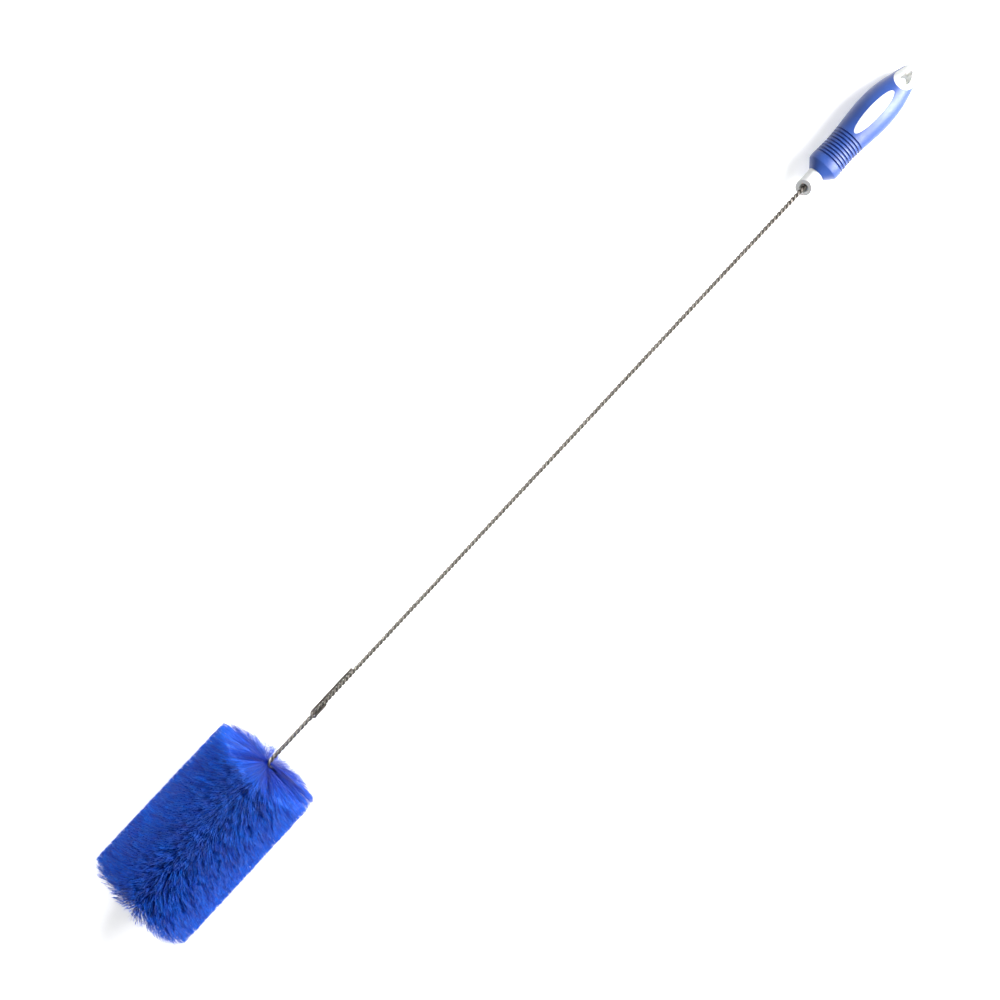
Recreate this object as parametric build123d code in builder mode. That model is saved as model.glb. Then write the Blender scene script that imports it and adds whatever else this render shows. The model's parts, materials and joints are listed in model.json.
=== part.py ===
"""A long-reach wheel brush: a twisted-wire head of nylon filaments, a twisted-wire stem
and a rigid handle core with a soft grip moulded over it.

The brush is drawn along +X, from the tip of its head to the end of its handle, with the
wide side of the grip in the XY plane. At the end every piece is laid down together, so
that the head's inner rim and the belly of the grip both touch the plane Z = 0.
Lengths are in millimetres.
"""

import os
from math import atan2, cos, degrees, pi, radians, sin

from build123d import *

# Wire stock and twist. Both wires are twisted left-handed.
wire_d = 1.8
wire_r = wire_d / 2
head_lay = 8.8
stem_lay = 7.9
head_wire_orbit = 1.15  # the filaments hold the two legs of the head apart
stem_wire_orbit = 0.92

# Brush head
head_turns = 17
head_length = head_turns * head_lay
tip_radius = 48.5
inner_radius = 47.5
row_spread = 12.0  # the angle that a row of filaments fills, seen along the axis
row_waist = 0.3  # the row where it passes between the two legs of wire
row_end_turn = 0.0  # the rows end at the head's inner end, level with the wide side of the grip
tip_loop = 6.0  # how far the fold of the wire stands out of the tip

# Splice behind the head, measured from the head's inner end. The two legs of the head wire
# open out and run straight along the outside of the stem, to which they are brazed.
splice_start = 51.7
spread_length = 5.0
splice_orbit = stem_wire_orbit + wire_d + 0.02
# (where the leg comes to lie, seen along +X from +Y, and how far from the head it ends)
splice_legs = [(10.0, 98.5), (125.0, 64.5)]

# Handle, placed by the front edge of the grip
stem_length = 619.0
neck_length = 14.6
neck_x = head_length + stem_length
grip_x = neck_x + neck_length
neck_tip_r = 6.4
neck_root_r = 6.8
neck_mitre = 32.0  # the end of the neck is cut off at a slant
socket_d = 7.0
socket_depth = 14.0
wire_bore_d = 4.0
wire_grip_length = 52.0

collar_length = 7.0
# (distance behind the grip's front edge, half width, half thickness)
grip_stations = [
    (collar_length, 13.3, 9.6),
    (14.0, 13.5, 9.8),
    (26.0, 13.0, 9.6),
    (38.0, 13.6, 10.0),
    (50.0, 14.7, 10.8),
    (63.0, 15.6, 11.6),
    (76.0, 15.3, 11.3),
    (90.0, 13.1, 10.0),
    (101.0, 10.1, 8.6),
    (107.0, 8.5, 7.9),
    (111.5, 6.7, 7.1),
    (115.0, 4.4, 5.8),
]
end_rounding = 3.0
shell = 2.8  # thickness of the soft grip over the core
pad_sink = 0.2  # the oval pads lie this far below the grip's surface

rib_grooves = 9
rib_pitch = 2.9
first_groove = 14.3
groove_r = 0.95
groove_sink = 0.25  # the middle of its round section lies this far below the surface

pad_centre = 63.4
pad_length = 45.0
pad_width = 10.4

end_disc_centre = 99.5
end_disc_r = 8.7
bare_end = 112.0  # the core is bare all round from here to the end of the handle
bare_end_r = 5.6
hang_hole_centre = 100.4
hang_hole_r = 3.8
hang_hole_mouth_r = 4.7
throat_height = 3.0  # the hole is straight this far from the middle of the handle
mouth_height = 7.4
flare_out = 12.0
# A slanted channel widens each mouth of the hole towards the end of the handle.
channel_r = 2.2
channel_slant = 40.0
channel_height = 2.0  # where its middle line leaves the middle line of the hole
channel_reach = 16.0
collar_lip = 0.4
shoulder_rounding = 1.5


def twist(distance, lay):
    """Degrees that a left-handed twist has turned after a distance along +X."""
    return -360.0 * distance / lay


def station(x, turn=0.0):
    """The plane across the brush at x, with its own X turned from +Y about +X."""
    across = (0, cos(radians(turn)), sin(radians(turn)))
    return Plane(origin=(x, 0, 0), x_dir=across, z_dir=(1, 0, 0))


def strand(x, length, lay, orbit, turn, orbit_end=None):
    """One leg of wire on a left-handed helix about the X axis, as a solid."""
    flare = degrees(atan2((orbit_end or orbit) - orbit, length))
    path = station(x, turn) * Helix(lay, length, orbit, cone_angle=flare, lefthand=True)
    with BuildPart() as leg:
        with BuildSketch(Plane(path @ 0, z_dir=path % 0)):
            Circle(wire_r)
        sweep(path=path, is_frenet=True)
    return leg.part


def wire_fold(x, orbit, turn):
    """The half ring that joins the two legs of a folded wire, bulging towards -X."""
    path = station(x, turn) * ThreePointArc((orbit, 0, 0), (0, 0, -orbit), (-orbit, 0, 0))
    with BuildPart() as fold:
        with BuildSketch(Plane(path @ 0, z_dir=path % 0)):
            Circle(wire_r)
        sweep(path=path)
        with Locations(path @ 0, path @ 1):
            Sphere(wire_r)
    return fold.part


def place_on(x, orbit, turn):
    """A point on a strand's centre line."""
    return Vector(x, orbit * cos(radians(turn)), orbit * sin(radians(turn)))


# --- Wires ---------------------------------------------------------------------------

fold_x = -tip_loop + head_wire_orbit + wire_r
splice_x = head_length + splice_start
spread_x = splice_x - spread_length
fold_turn = row_end_turn - 90.0 - twist(head_length - fold_x, head_lay)
spread_turn = fold_turn + twist(spread_x - fold_x, head_lay)

with BuildPart() as head_wire:
    add(wire_fold(fold_x, head_wire_orbit, fold_turn))
    for side, (leg_turn, leg_end) in zip((0.0, 180.0), splice_legs):
        add(strand(fold_x, spread_x - fold_x, head_lay, head_wire_orbit, fold_turn + side))
        opening = (spread_turn + side - leg_turn) % 360.0
        lay = spread_length * 360.0 / opening
        add(
            strand(
                spread_x, spread_length, lay, head_wire_orbit, spread_turn + side, splice_orbit
            )
        )
        with BuildSketch(station(splice_x, leg_turn)):
            with Locations((splice_orbit, 0)):
                Circle(wire_r)
        extrude(amount=leg_end - splice_start)
        with Locations(
            place_on(spread_x, head_wire_orbit, spread_turn + side),
            place_on(splice_x, splice_orbit, leg_turn),
        ):
            Sphere(wire_r)

stem_x = splice_x + stem_wire_orbit + wire_r
stem_turn = 90.0
stem_end = neck_x + wire_grip_length

with BuildPart() as stem_wire:
    add(wire_fold(stem_x, stem_wire_orbit, stem_turn))
    for side in (0, 180):
        add(strand(stem_x, stem_end - stem_x, stem_lay, stem_wire_orbit, stem_turn + side))


# --- Filaments: the two rows on either side of the wire make a double spiral -----------


def filament_turn(x, radius):
    """The filaments of one full turn of the twist, from x to x + head_lay."""
    half_spread = row_spread / 2
    rim = (radius * cos(radians(half_spread)), radius * sin(radians(half_spread)))
    # The filaments lie at right angles to the line between the two legs of wire.
    with BuildSketch(station(x, fold_turn + 90.0 + twist(x - fold_x, head_lay))) as rows:
        with BuildLine():
            Line((0, 0), (rim[0], -rim[1]))
            ThreePointArc((rim[0], -rim[1]), (radius, 0), rim)
            Line(rim, (0, 0))
        make_face()
        mirror(about=Plane.YZ)
        Rectangle(radius, row_waist)
    with BuildPart() as turn:
        add(
            Solid.extrude_linear_with_rotation(
                rows.sketch.face(), (x, 0, 0), (head_lay, 0, 0), twist(head_lay, head_lay)
            )
        )
    return turn.part


bristle_turns = []
for count in range(head_turns):
    share = (count + 0.5) / head_turns
    radius = tip_radius + (inner_radius - tip_radius) * share
    bristle_turns.append(filament_turn(count * head_lay, radius))


# --- Handle ----------------------------------------------------------------------------


def grip_body(inset=0.0, first=0.0, last=200.0):
    """The oval body of the handle, drawn in by an inset, between two stations."""
    with BuildPart() as body:
        for distance, half_width, half_thickness in grip_stations:
            if first <= distance <= last:
                with BuildSketch(station(grip_x + distance)):
                    Ellipse(half_width - inset, half_thickness - inset)
        loft()
    return body.part


def upright_ellipse(centre, length, width):
    """An elliptical prism through the whole thickness of the handle."""
    with BuildPart() as prism:
        with BuildSketch(Plane(origin=(grip_x + centre, 0, 0))):
            Ellipse(length / 2, width / 2)
        extrude(amount=tip_radius, both=True)
    return prism.part


def bare_zone():
    """The space in which the core shows at the end of the handle."""
    with BuildPart() as zone:
        with BuildSketch(Plane(origin=(grip_x, 0, 0))):
            with Locations((end_disc_centre, 0)):
                Circle(end_disc_r)
            with Locations((bare_end, 0)):
                Circle(bare_end_r)
            make_hull()
        extrude(amount=tip_radius, both=True)
        with Locations((grip_x + bare_end, 0, 0)):
            Box(60, 60, 60, align=(Align.MIN, Align.CENTER, Align.CENTER))
    return zone.part


with BuildPart() as outer_body:
    add(grip_body())
    fillet(outer_body.faces().sort_by(Axis.X)[-1].edges(), end_rounding)

with BuildPart() as pads:
    add(grip_body(pad_sink))
    add(upright_ellipse(pad_centre, pad_length, pad_width), mode=Mode.INTERSECT)

with BuildPart() as bare_core:
    add(outer_body.part)
    add(bare_zone(), mode=Mode.INTERSECT)

with BuildPart() as neck:
    with BuildSketch(station(neck_x - neck_length)):
        Circle(neck_tip_r)
    with BuildSketch(station(grip_x)):
        Circle(neck_root_r)
    with BuildSketch(station(grip_x + 2 * collar_length)):
        Circle(neck_root_r)
    loft(ruled=True)
    slant = (cos(radians(neck_mitre)), 0, -sin(radians(neck_mitre)))
    split(bisect_by=Plane(origin=(neck_x, 0, 0), z_dir=slant), keep=Keep.TOP)

with BuildPart() as core_blank:
    add(grip_body(shell, first=collar_length, last=101.0))
    add(neck.part)
    add(pads.part)
    add(bare_core.part)

with BuildPart() as handle_core:
    add(core_blank.part)
    # the socket for the stem: a wide mouth, then a bore close around the twisted wire
    with BuildSketch(station(neck_x - neck_length)):
        Circle(socket_d / 2)
    extrude(amount=neck_length + socket_depth, mode=Mode.SUBTRACT)
    with BuildSketch(station(neck_x)):
        Circle(wire_bore_d / 2)
    extrude(amount=wire_grip_length + 1.0, mode=Mode.SUBTRACT)
    # the hanging hole, straight in the middle and flared at both faces
    hole_x = grip_x + hang_hole_centre
    with BuildSketch(Plane(origin=(hole_x, 0, 0), x_dir=(1, 0, 0), z_dir=(0, -1, 0))):
        with BuildLine():
            Polyline(
                (0, -flare_out), (hang_hole_mouth_r + 5, -flare_out),
                (hang_hole_mouth_r, -mouth_height), (hang_hole_r, -throat_height),
                (hang_hole_r, throat_height), (hang_hole_mouth_r, mouth_height),
                (hang_hole_mouth_r + 5, flare_out), (0, flare_out), close=True,
            )
        make_face()
    revolve(axis=Axis((hole_x, 0, 0), (0, 0, 1)), mode=Mode.SUBTRACT)
    for face in (1, -1):
        slanted = (sin(radians(channel_slant)), 0, face * cos(radians(channel_slant)))
        with BuildSketch(Plane(origin=(hole_x, 0, face * channel_height), z_dir=slanted)):
            Circle(channel_r)
        extrude(amount=channel_reach, mode=Mode.SUBTRACT)


# The grip is everything between the outside of the handle and the core.


def rib_groove(distance):
    """A round-bottomed groove that runs round the grip."""
    with BuildPart() as groove:
        outline = section(grip_body(groove_sink), section_by=station(grip_x + distance)).wire()
        with BuildSketch(Plane(origin=outline @ 0, z_dir=outline % 0)):
            Circle(groove_r)
        sweep(path=outline)
    return groove.part


with BuildPart() as handle_grip:
    add(outer_body.part)
    with BuildSketch(station(grip_x)):
        Circle(neck_root_r + collar_lip)
    with BuildSketch(station(grip_x + collar_length)):
        Ellipse(*grip_stations[0][1:])
    loft()
    shoulder = handle_grip.edges().filter_by_position(
        Axis.X, grip_x + collar_length - 0.01, grip_x + collar_length + 0.01
    )
    fillet(shoulder, shoulder_rounding)
    for groove_count in range(rib_grooves):
        add(rib_groove(first_groove + groove_count * rib_pitch), mode=Mode.SUBTRACT)
    add(core_blank.part, mode=Mode.SUBTRACT)
    add(upright_ellipse(pad_centre, pad_length, pad_width), mode=Mode.SUBTRACT)
    add(bare_zone(), mode=Mode.SUBTRACT)


# --- The brush at rest -----------------------------------------------------------------

pieces = {
    "head_wire": head_wire.part,
    "stem_wire": stem_wire.part,
    "handle_core": handle_core.part,
    "handle_grip": handle_grip.part,
}
for count, bristle_turn in enumerate(bristle_turns, start=1):
    pieces[f"bristle_turn_{count:02d}"] = bristle_turn

belly, _, belly_half_thickness = max(grip_stations, key=lambda row: row[2])
drop = inner_radius - belly_half_thickness
slope = degrees(atan2(drop, grip_x + belly - head_length))
sloped = Location((0, 0, 0), (0, slope, 0))
box = Compound([piece.moved(sloped) for piece in pieces.values()]).bounding_box()
rest = Location((-box.center().X, -box.center().Y, -box.min.Z)) * sloped

os.makedirs("parts", exist_ok=True)
for name, piece in pieces.items():
    resting = piece.moved(rest)
    resting.label = name
    export_step(resting, f"parts/{name}.step")

hole = rest * Location((grip_x + hang_hole_centre, 0, 0))
print("slope", round(slope, 3), "hanging hole", hole.position, "along", hole.orientation)
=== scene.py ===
"""Looks of a long-reach wheel brush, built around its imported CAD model.

The brush is described along its own axis, as in the CAD: x runs from the tip of the head to
the end of the handle, y across the wide side of the grip and z out of it. laid() puts those
points where the brush lies. Lengths are in metres.
"""

import json
from math import pi, radians

import bpy
import numpy as np
from mathutils import Matrix, Vector


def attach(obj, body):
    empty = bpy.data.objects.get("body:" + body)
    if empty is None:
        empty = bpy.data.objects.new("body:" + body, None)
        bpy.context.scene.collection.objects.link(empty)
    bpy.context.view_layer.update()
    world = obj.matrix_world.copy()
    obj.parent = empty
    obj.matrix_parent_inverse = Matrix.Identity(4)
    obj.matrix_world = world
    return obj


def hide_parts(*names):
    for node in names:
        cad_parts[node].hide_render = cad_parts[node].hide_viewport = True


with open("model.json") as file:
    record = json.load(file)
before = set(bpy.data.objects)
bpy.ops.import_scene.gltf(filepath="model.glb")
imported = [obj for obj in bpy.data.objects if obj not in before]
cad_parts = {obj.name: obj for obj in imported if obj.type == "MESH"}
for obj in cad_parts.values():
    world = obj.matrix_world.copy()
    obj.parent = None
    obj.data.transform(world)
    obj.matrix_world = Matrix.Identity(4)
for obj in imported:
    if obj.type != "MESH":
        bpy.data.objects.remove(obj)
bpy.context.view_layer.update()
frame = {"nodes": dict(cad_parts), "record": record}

MM = 0.001

# --- The brush's own axes in the frame --------------------------------------------------

HANG_HOLE_X = 883.6 * MM
hang_hole = next(m for m in frame["record"]["mounts"] if m["name"] == "hang_hole")
out_of_grip = np.array(hang_hole["axis"])
across = np.array([0.0, 1.0, 0.0])
along = np.cross(across, out_of_grip)
brush_start = np.array(hang_hole["pos_m"]) - along * HANG_HOLE_X
brush_axes = np.stack([along, across, out_of_grip])


def laid(points):
    """Points given along the brush, where the brush lies."""
    return brush_start + np.asarray(points) @ brush_axes


# --- Camera, floor and light ------------------------------------------------------------

VIEW_X, VIEW_Y, VIEW_HEIGHT = 425.0 * MM, 7.5 * MM, 1.066
LENS = 48.6
VIEW_TURN = radians(47.06)  # the brush runs up to the right
CLIP_START, CLIP_END = 0.01, 50.0
AMBIENT_COLOUR, AMBIENT_STRENGTH = (0.93, 0.96, 1.0, 1.0), 0.27

camera_data = bpy.data.cameras.new("camera")
camera_data.lens = LENS
camera_data.clip_start, camera_data.clip_end = CLIP_START, CLIP_END
camera = bpy.data.objects.new("camera", camera_data)
bpy.context.scene.collection.objects.link(camera)
bpy.context.scene.camera = camera
right = np.cos(VIEW_TURN) * along - np.sin(VIEW_TURN) * across
upward = np.sin(VIEW_TURN) * along + np.cos(VIEW_TURN) * across
facing = Matrix([[*r] for r in np.stack([right, upward, out_of_grip]).T]).to_4x4()
camera.matrix_world = Matrix.Translation(laid([VIEW_X, VIEW_Y, VIEW_HEIGHT])) @ facing


def area_light(name, place, aim_x, size, power, spread=180.0):
    """A square light at a place given along the brush, aimed at a point of its axis.

    power is in watts and spread in degrees.
    """
    data = bpy.data.lights.new(name, "AREA")
    data.size, data.energy, data.spread = size, power, radians(spread)
    light = bpy.data.objects.new(name, data)
    bpy.context.scene.collection.objects.link(light)
    away = Vector(laid(place) - laid([aim_x, 0, 0]))
    light.matrix_world = (
        Matrix.Translation(laid(place)) @ away.to_track_quat("Z", "Y").to_matrix().to_4x4()
    )


area_light("key", (1.50, -0.80, 0.80), 0.45, 0.8, 66.0)
area_light("head", (1.15, 0.50, 0.55), 0.14, 0.5, 1.1, 24.0)
area_light("fill", (0.1, 0.4, 2.6), 0.3, 2.2, 1.0)

world = bpy.data.worlds.new("studio")
bpy.context.scene.world = world
world.use_nodes = True
ambient = world.node_tree.nodes["Background"]
ambient.inputs["Color"].default_value = AMBIENT_COLOUR
ambient.inputs["Strength"].default_value = AMBIENT_STRENGTH

view = bpy.context.scene.view_settings
view.view_transform = "Standard"
view.look = "None"


# --- Materials --------------------------------------------------------------------------


def new_material(name, roughness, **sockets):
    """A Principled material and the parts of its node tree that the rest builds on."""
    material = bpy.data.materials.new(name)
    material.use_nodes = True
    tree = material.node_tree
    shader = tree.nodes["Principled BSDF"]
    shader.inputs["Roughness"].default_value = roughness
    for socket, value in sockets.items():
        shader.inputs[socket.replace("_", " ")].default_value = value
    return material, tree, shader


def node(tree, kind, **settings):
    """A new node with its settings and the unlinked values of its inputs."""
    made = tree.nodes.new(kind)
    for key, value in settings.items():
        if hasattr(made, key):
            setattr(made, key, value)
        else:
            made.inputs[key].default_value = value
    return made


def noise(tree, scale, detail=3.0, roughness=0.5):
    """Noise in the object's own metres."""
    place = node(tree, "ShaderNodeTexCoord").outputs["Object"]
    made = node(tree, "ShaderNodeTexNoise", Scale=scale, Detail=detail, Roughness=roughness)
    tree.links.new(place, made.inputs["Vector"])
    return made.outputs["Fac"]


def ramp(tree, value, *stops):
    """Colours or grey levels at places along a value."""
    made = node(tree, "ShaderNodeValToRGB")
    elements = made.color_ramp.elements
    while len(elements) < len(stops):
        elements.new(0.5)
    for element, (place, colour) in zip(elements, stops):
        element.position = place
        element.color = (*colour, 1.0) if isinstance(colour, tuple) else (*[colour] * 3, 1.0)
    tree.links.new(value, made.inputs["Fac"])
    return made.outputs["Color"]


def bump(tree, shader, height, distance):
    """Fine relief on a shader, as deep as distance in metres."""
    made = node(tree, "ShaderNodeBump", Strength=1.0, Distance=distance)
    tree.links.new(height, made.inputs["Height"])
    tree.links.new(made.outputs["Normal"], shader.inputs["Normal"])


def steel_material():
    """Galvanised wire: dull dark zinc with a mottle and a fine grain."""
    material, tree, shader = new_material("galvanised_wire", 0.38, Metallic=1.0)
    mottle = noise(tree, 420.0, 4.0, 0.6)
    colour = ramp(tree, mottle, (0.3, (0.10, 0.089, 0.078)), (0.7, (0.27, 0.245, 0.22)))
    tree.links.new(colour, shader.inputs["Base Color"])
    rough = ramp(tree, noise(tree, 900.0, 2.0), (0.25, 0.42), (0.75, 0.62))
    tree.links.new(rough, shader.inputs["Roughness"])
    bump(tree, shader, noise(tree, 2600.0, 3.0), 0.00003)
    return material


def filament_material():
    """Extruded nylon: each filament has its own tone of blue, and painted shade makes it darker
    towards its root, deep in the head.
    """
    material, tree, shader = new_material(
        "blue_filament", 0.34, IOR=1.5, Specular_IOR_Level=0.45
    )
    shade = node(tree, "ShaderNodeAttribute", attribute_name="shade").outputs["Fac"]
    colour = ramp(
        tree,
        shade,
        (0.0, (0.0, 0.005, 0.17)),
        (0.45, (0.0, 0.043, 0.45)),
        (1.0, (0.0, 0.15, 0.82)),
    )
    tree.links.new(colour, shader.inputs["Base Color"])
    return material


def plastic_material():
    """Polypropylene, moulded: white, slightly uneven, with a satin surface."""
    material, tree, shader = new_material(
        "white_plastic", 0.34, Subsurface_Weight=0.08, Subsurface_Scale=0.002
    )
    tone = ramp(
        tree, noise(tree, 60.0, 3.0), (0.3, (0.66, 0.67, 0.66)), (0.7, (0.72, 0.73, 0.72))
    )
    tree.links.new(tone, shader.inputs["Base Color"])
    rough = ramp(tree, noise(tree, 220.0, 3.0), (0.3, 0.28), (0.7, 0.42))
    tree.links.new(rough, shader.inputs["Roughness"])
    bump(tree, shader, noise(tree, 1800.0, 2.0), 0.00002)
    return material


def rubber_material():
    """Soft blue grip: a matt moulded surface with a fine spark-eroded grain."""
    material, tree, shader = new_material(
        "blue_rubber", 0.47, IOR=1.5, Specular_IOR_Level=0.75,
        Sheen_Weight=0.4, Sheen_Roughness=0.45,
    )
    tone = ramp(
        tree, noise(tree, 45.0, 4.0), (0.3, (0.002, 0.040, 0.25)), (0.7, (0.003, 0.054, 0.30))
    )
    tree.links.new(tone, shader.inputs["Base Color"])
    rough = ramp(tree, noise(tree, 300.0, 3.0), (0.3, 0.42), (0.7, 0.53))
    tree.links.new(rough, shader.inputs["Roughness"])
    bump(tree, shader, noise(tree, 2400.0, 3.0, 0.6), 0.00005)
    return material


steel = steel_material()
nylon = filament_material()
white_plastic = plastic_material()
blue_rubber = rubber_material()


# --- Wires ------------------------------------------------------------------------------

WIRE_R = 0.96 * MM
HEAD_LAY, STEM_LAY = 8.8 * MM, 7.9 * MM
HEAD_ORBIT, STEM_ORBIT = 1.15 * MM, 1.07 * MM
HEAD_TURNS = 17
HEAD_LENGTH = HEAD_TURNS * HEAD_LAY
TIP_LOOP = 6.0 * MM
SPLICE_X = HEAD_LENGTH + 51.7 * MM
SPREAD_LENGTH = 5.0 * MM
SPREAD_X = SPLICE_X - SPREAD_LENGTH
SPLICE_ORBIT = STEM_ORBIT + 2 * WIRE_R + 0.02 * MM
# where each leg comes to lie round the stem, and where it ends
SPLICE_LEGS = ((32.0, HEAD_LENGTH + 98.5 * MM), (130.0, HEAD_LENGTH + 64.5 * MM))
FOLD_X = -TIP_LOOP + HEAD_ORBIT + WIRE_R
FOLD_TURN = -90.0 + 360.0 * (HEAD_LENGTH - FOLD_X) / HEAD_LAY
STEM_X = SPLICE_X
STEM_TURN = 90.0
NECK_X, BORE_DEPTH = 768.6 * MM, 52.0 * MM
STEM_END = NECK_X + BORE_DEPTH

# how finely the wires are made
WIRE_STEP = 0.3 * MM
WIRE_SIDES = 14
FOLD_POINTS, SPREAD_POINTS = 14, 24
CAP_SHARE = 0.2
HEAD_RING_STEP, STEM_RING_STEP = 0.38 * MM, 0.42 * MM


def spiral(x, orbit, turn):
    """Points at an orbit round the axis, at turns in degrees."""
    angle = np.radians(turn)
    return np.stack([x + 0 * angle, orbit * np.cos(angle), orbit * np.sin(angle)], axis=1)


def fold_points(x, orbit, turn):
    """The half ring that joins two legs, from the leg at turn to the one across."""
    angle = np.linspace(0, pi, FOLD_POINTS)[1:-1]
    reach, side = x - orbit * np.sin(angle), orbit * np.cos(angle)
    return np.stack([reach, side * np.cos(radians(turn)), side * np.sin(radians(turn))], axis=1)


def eased(path, ends=4, rounds=12):
    """The path with its corners eased, but for its first and last points."""
    path = path.copy()
    stop = len(path) - ends
    for _ in range(rounds):
        before, here, after = path[ends - 1 : stop - 1], path[ends:stop], path[ends + 1 : stop + 1]
        path[ends:stop] = (before + 2 * here + after) / 4
    return path


def evenly(path, step):
    """The path with its points the same distance apart."""
    run = np.concatenate([[0], np.cumsum(np.linalg.norm(np.diff(path, axis=0), axis=1))])
    places = np.linspace(0, run[-1], int(run[-1] / step) + 1)
    return np.stack([np.interp(places, run, path[:, axis]) for axis in range(3)], axis=1)


def head_leg(side, leg_turn, leg_end):
    """One leg of the head's wire, from the fold to its cut end on the stem."""
    start = FOLD_TURN + side
    x = np.arange(FOLD_X, SPREAD_X, WIRE_STEP)
    twisted = spiral(x, HEAD_ORBIT, start - 360.0 * (x - FOLD_X) / HEAD_LAY)
    before = start - 360.0 * (SPREAD_X - FOLD_X) / HEAD_LAY
    opening = (before - leg_turn) % 360.0
    share = np.linspace(0, 1, SPREAD_POINTS)
    x = SPREAD_X + share * SPREAD_LENGTH
    spread = spiral(x, HEAD_ORBIT + (SPLICE_ORBIT - HEAD_ORBIT) * share, before - opening * share)
    x = np.arange(SPLICE_X + WIRE_STEP, leg_end, WIRE_STEP)
    straight = spiral(x, SPLICE_ORBIT, leg_turn + 0 * x)
    return np.concatenate([twisted, spread, straight])


def stem_leg(side):
    """One strand of the stem, from the fold to its end inside the handle."""
    x = np.arange(STEM_X, STEM_END, WIRE_STEP)
    return spiral(x, STEM_ORBIT, STEM_TURN + side - 360.0 * (x - STEM_X) / STEM_LAY)


def mesh_object(name, points, faces, material):
    """A smooth-shaded piece made of points along the brush."""
    mesh = bpy.data.meshes.new(name)
    mesh.from_pydata(laid(points).tolist(), [], faces)
    mesh.update()
    mesh.shade_smooth()
    mesh.materials.append(material)
    piece = bpy.data.objects.new(name, mesh)
    bpy.context.scene.collection.objects.link(piece)
    return piece


def wire_piece(name, path, step):
    """A round wire along a path, its cut ends slightly rounded."""
    path = evenly(eased(evenly(path, WIRE_STEP)), step)
    tangent = np.gradient(path, axis=0)
    tangent /= np.linalg.norm(tangent, axis=1)[:, None]
    side = np.cross(tangent[0], [0.0, 0.3, 1.0])
    rings = []
    for place, direction in zip(path, tangent):
        side = side - direction * (side @ direction)
        side /= np.linalg.norm(side)
        rings.append((place, side, np.cross(direction, side), WIRE_R))
    ease = CAP_SHARE * WIRE_R
    for at, direction in ((0, -tangent[0]), (-1, tangent[-1])):
        place, first, second, _ = rings[at]
        cap = (place + ease * direction, first, second, WIRE_R - ease)
        rings = [cap] + rings if at == 0 else rings + [cap]
    angle = np.arange(WIRE_SIDES) * 2 * pi / WIRE_SIDES
    points = np.concatenate([
        place + radius * (np.cos(angle)[:, None] * first + np.sin(angle)[:, None] * second)
        for place, first, second, radius in rings
    ])
    faces = [
        (
            ring * WIRE_SIDES + k,
            ring * WIRE_SIDES + (k + 1) % WIRE_SIDES,
            (ring + 1) * WIRE_SIDES + (k + 1) % WIRE_SIDES,
            (ring + 1) * WIRE_SIDES + k,
        )
        for ring in range(len(rings) - 1)
        for k in range(WIRE_SIDES)
    ]
    last = (len(rings) - 1) * WIRE_SIDES
    faces.append(tuple(reversed(range(WIRE_SIDES))))
    faces.append(tuple(range(last, last + WIRE_SIDES)))
    return mesh_object(name, points, faces, steel)


legs = [head_leg(side, *leg) for side, leg in zip((0.0, 180.0), SPLICE_LEGS)]
head_path = np.concatenate([legs[0][::-1], fold_points(FOLD_X, HEAD_ORBIT, FOLD_TURN), legs[1]])
stem_path = np.concatenate(
    [stem_leg(0)[::-1], fold_points(STEM_X, STEM_ORBIT, STEM_TURN), stem_leg(180)]
)
for name, path, step in (
    ("head_wire", head_path, HEAD_RING_STEP),
    ("stem_wire", stem_path, STEM_RING_STEP),
):
    wire = wire_piece("twisted_" + name, path, step)
    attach(wire, "root")
    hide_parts(name)


# --- Filaments --------------------------------------------------------------------------

TIP_RADIUS, INNER_RADIUS = 49.0 * MM, 48.5 * MM
FILAMENT_R = 0.105 * MM
FILAMENTS = 1250  # in one turn of the twist; each has two ends
CLUMP = 9
STATIONS = 6
ROOT_RADIUS = 0.3 * MM
HEAD_SEED = 20
# how far clumps and single filaments stray: round the head in degrees, along it in mm
CLUMP_SWING, OWN_SWING = 2.4, 2.2
CLUMP_LEAN, OWN_LEAN = 1.1, 1.2
# the upper filaments lean towards the handle by LEAN_AT_TIP mm at the tip of the head. The
# lean falls by LEAN_FALL mm up to two thirds of its length, and stays the same from there
LEAN_AT_TIP, LEAN_FALL, FALL_RATE = 4.0, 11.0, 1.5
# past TRIM_AHEAD and TRIM_BEHIND of the flat ends, only TRIM_SHARE of the lean is left
TRIM_AHEAD, TRIM_BEHIND, TRIM_SHARE = 0.5 * MM, 1.5 * MM, 0.25
# the largest shares of its length that a filament and a clump fall short
OWN_SHORT, CLUMP_SHORT = 0.035, 0.012
# how far clumps and single filaments bow out on their way, round the head and along it in mm
CLUMP_BOW, OWN_BOW = 1.0, 0.7
CLUMP_BOW_X, OWN_BOW_X = 0.8, 0.6
# how far a root strays, as a share of the space that its clump has on the wire
ROOT_JITTER = 0.6
# where between root and tip the swing and the lean come in
SWING_POWER, LEAN_POWER = 0.8, 1.1
# shade is 0 for the darkest blue and 1 for the lightest. It holds each filament's own random tone,
# plus painted shade that runs from dark at the root to light at the tip
SHADE_MEAN, SHADE_SPREAD, PAINTED_SHADE_RISE, PAINTED_SHADE_FROM = 0.5, 0.16, 0.7, 0.75


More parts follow.
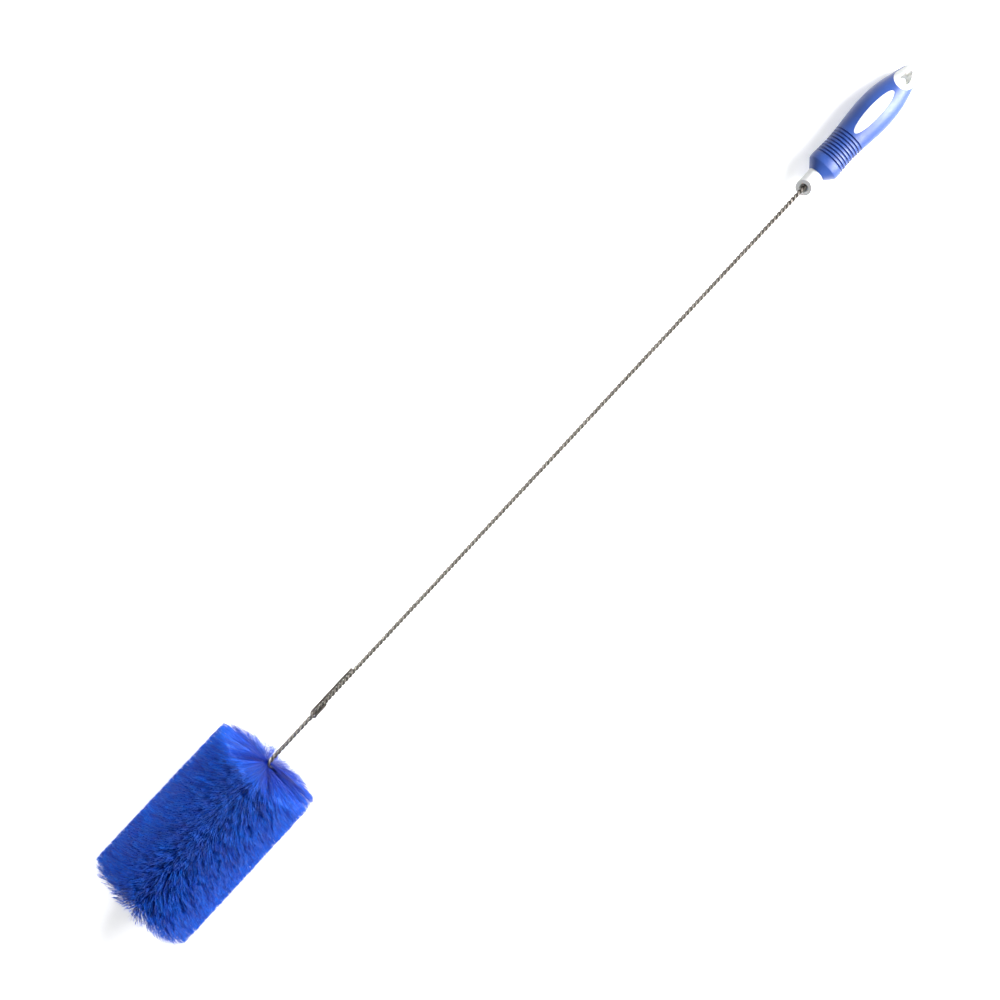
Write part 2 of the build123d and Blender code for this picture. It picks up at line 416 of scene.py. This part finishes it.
def filament_turn(count):
    """The filaments that one turn of the twist holds, out on both sides of the wire."""
    rng = np.random.default_rng(HEAD_SEED + count)
    ends = 2 * FILAMENTS
    clumps = ends // CLUMP
    clump = np.arange(ends) % clumps
    # neighbours on the wire share a clump
    half = clumps // 2
    clump_x = (count + (np.arange(clumps) % half + 0.5) / half) * HEAD_LAY
    clump_side = np.where(np.arange(clumps) < half, 0.0, 180.0)
    jitter = rng.uniform(-ROOT_JITTER, ROOT_JITTER, ends)
    root_x = clump_x[clump] + jitter * HEAD_LAY / half
    turn = FOLD_TURN + 90.0 + clump_side[clump] - 360.0 * (root_x - FOLD_X) / HEAD_LAY
    share = root_x / HEAD_LENGTH
    radius = TIP_RADIUS + (INNER_RADIUS - TIP_RADIUS) * share

    swing = rng.normal(0, CLUMP_SWING, clumps)[clump] + rng.normal(0, OWN_SWING, ends)
    lean = (rng.normal(0, CLUMP_LEAN, clumps)[clump] + rng.normal(0, OWN_LEAN, ends)) * MM
    # the filaments of the upper side have been pushed towards the middle of the head
    upper = (1 + np.sin(np.radians(turn))) / 2
    lean += upper * (LEAN_AT_TIP - LEAN_FALL * np.minimum(FALL_RATE * share, 1.0)) * MM
    # the head is trimmed flat at its ends, so no filament stands out far there
    out_ahead, out_behind = -root_x - TRIM_AHEAD, HEAD_LENGTH + TRIM_BEHIND - root_x
    lean = np.where(lean < out_ahead, out_ahead + TRIM_SHARE * (lean - out_ahead), lean)
    lean = np.where(lean > out_behind, out_behind + TRIM_SHARE * (lean - out_behind), lean)
    own_short = OWN_SHORT * rng.random(ends) ** 2
    reach = radius * (1 - own_short - CLUMP_SHORT * rng.random(clumps)[clump])
    bow = (rng.normal(0, CLUMP_BOW, clumps)[clump] + rng.normal(0, OWN_BOW, ends)) * MM
    bow_x = (rng.normal(0, CLUMP_BOW_X, clumps)[clump] + rng.normal(0, OWN_BOW_X, ends)) * MM

    along_it = np.linspace(0, 1, STATIONS)[None, :]
    angle = np.radians(turn[:, None] + swing[:, None] * along_it**SWING_POWER)
    arc = np.sin(pi * along_it)
    r = ROOT_RADIUS + (reach[:, None] - ROOT_RADIUS) * along_it
    x = root_x[:, None] + lean[:, None] * along_it**LEAN_POWER + bow_x[:, None] * arc
    sideways = bow[:, None] * arc
    centre = np.stack(
        [
            x,
            r * np.cos(angle) - sideways * np.sin(angle),
            r * np.sin(angle) + sideways * np.cos(angle),
        ],
        axis=2,
    )
    direction = centre[:, -1] - centre[:, 0]
    direction /= np.linalg.norm(direction, axis=1)[:, None]
    first = np.cross(direction, [1.0, 0.0, 0.0])
    first /= np.linalg.norm(first, axis=1)[:, None]
    second = np.cross(direction, first)
    roll = rng.uniform(0, 2 * pi, ends)
    points = np.empty((ends, STATIONS, 3, 3))
    for corner in range(3):
        spot = roll + corner * 2 * pi / 3
        offset = np.cos(spot)[:, None] * first + np.sin(spot)[:, None] * second
        points[:, :, corner] = centre + FILAMENT_R * offset[:, None]

    base = np.arange(ends)[:, None, None] * STATIONS * 3
    ring = np.arange(STATIONS - 1)[None, :, None] * 3
    corner = np.arange(3)[None, None, :]
    beside = (corner + 1) % 3
    quads = np.stack(
        [
            base + ring + corner, base + ring + beside,
            base + ring + 3 + beside, base + ring + 3 + corner,
        ],
        axis=-1,
    ).reshape(-1, 4)
    faces = quads.tolist()
    starts = np.arange(ends) * STATIONS * 3
    tips = starts + (STATIONS - 1) * 3
    faces += np.stack([starts + 2, starts + 1, starts], axis=1).tolist()
    faces += np.stack([tips, tips + 1, tips + 2], axis=1).tolist()
    piece = mesh_object(f"filaments_{count + 1:02d}", points.reshape(-1, 3), faces, nylon)

    stray = SHADE_SPREAD * rng.normal(size=clumps)[clump] + SHADE_SPREAD * rng.normal(size=ends)
    shade = SHADE_MEAN + stray
    # painted shade: each filament darker towards its root, deep in the head, and lighter towards
    # its tip
    shade = shade[:, None] + PAINTED_SHADE_RISE * (along_it - PAINTED_SHADE_FROM)
    values = np.repeat(shade[:, :, None], 3, axis=2).clip(0, 1).ravel()
    attribute = piece.data.attributes.new("shade", "FLOAT", "POINT")
    attribute.data.foreach_set("value", values.astype(np.float32))
    return piece


for count in range(HEAD_TURNS):
    piece = filament_turn(count)
    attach(piece, "root")
    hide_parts(f"bristle_turn_{count + 1:02d}")


# --- Handle -----------------------------------------------------------------------------


def repaint(name, material):
    """Gives a CAD node a better material."""
    for slot in frame["nodes"][name].material_slots:
        slot.link = "OBJECT"
        slot.material = material


repaint("handle_core", white_plastic)
repaint("handle_grip", blue_rubber)


# --- Floor and backdrop -----------------------------------------------------------------

FLOOR_HALF = 12.0
WHITE, BLACK = (1.0, 1.0, 1.0, 1.0), (0.0, 0.0, 0.0, 1.0)
corners = [(-1, -1), (1, -1), (1, 1), (-1, 1)]
stage_points = [
    (x * FLOOR_HALF, y * FLOOR_HALF, z * FLOOR_HALF) for z in (0, 1) for x, y in corners
]


def stage_object(name, faces, material):
    """The floor or the backdrop, out of the same eight corners."""
    mesh = bpy.data.meshes.new(name)
    mesh.from_pydata(stage_points, [], faces)
    mesh.materials.append(material)
    staged = bpy.data.objects.new(name, mesh)
    bpy.context.scene.collection.objects.link(staged)
    return staged


paper, paper_tree, paper_shader = new_material("paper", 0.8, Emission_Strength=0.54)
paper_shader.inputs["Emission Color"].default_value = WHITE
paper_tone = ramp(paper_tree, noise(paper_tree, 3.0), (0.3, 0.80), (0.7, 0.82))
paper_tree.links.new(paper_tone, paper_shader.inputs["Base Color"])
stage_object("floor", [(0, 1, 2, 3)], paper)

# the walls and ceiling of the studio are seen, but give no light
wall, _, wall_shader = new_material("wall", 0.8, Emission_Strength=0.80)
wall_shader.inputs["Emission Color"].default_value = WHITE
wall_shader.inputs["Base Color"].default_value = BLACK
backdrop = stage_object(
    "backdrop", [(0, 4, 5, 1), (1, 5, 6, 2), (2, 6, 7, 3), (3, 7, 4, 0), (4, 7, 6, 5)], wall
)
backdrop.visible_diffuse = False
backdrop.visible_glossy = False
backdrop.visible_transmission = False
backdrop.visible_shadow = False
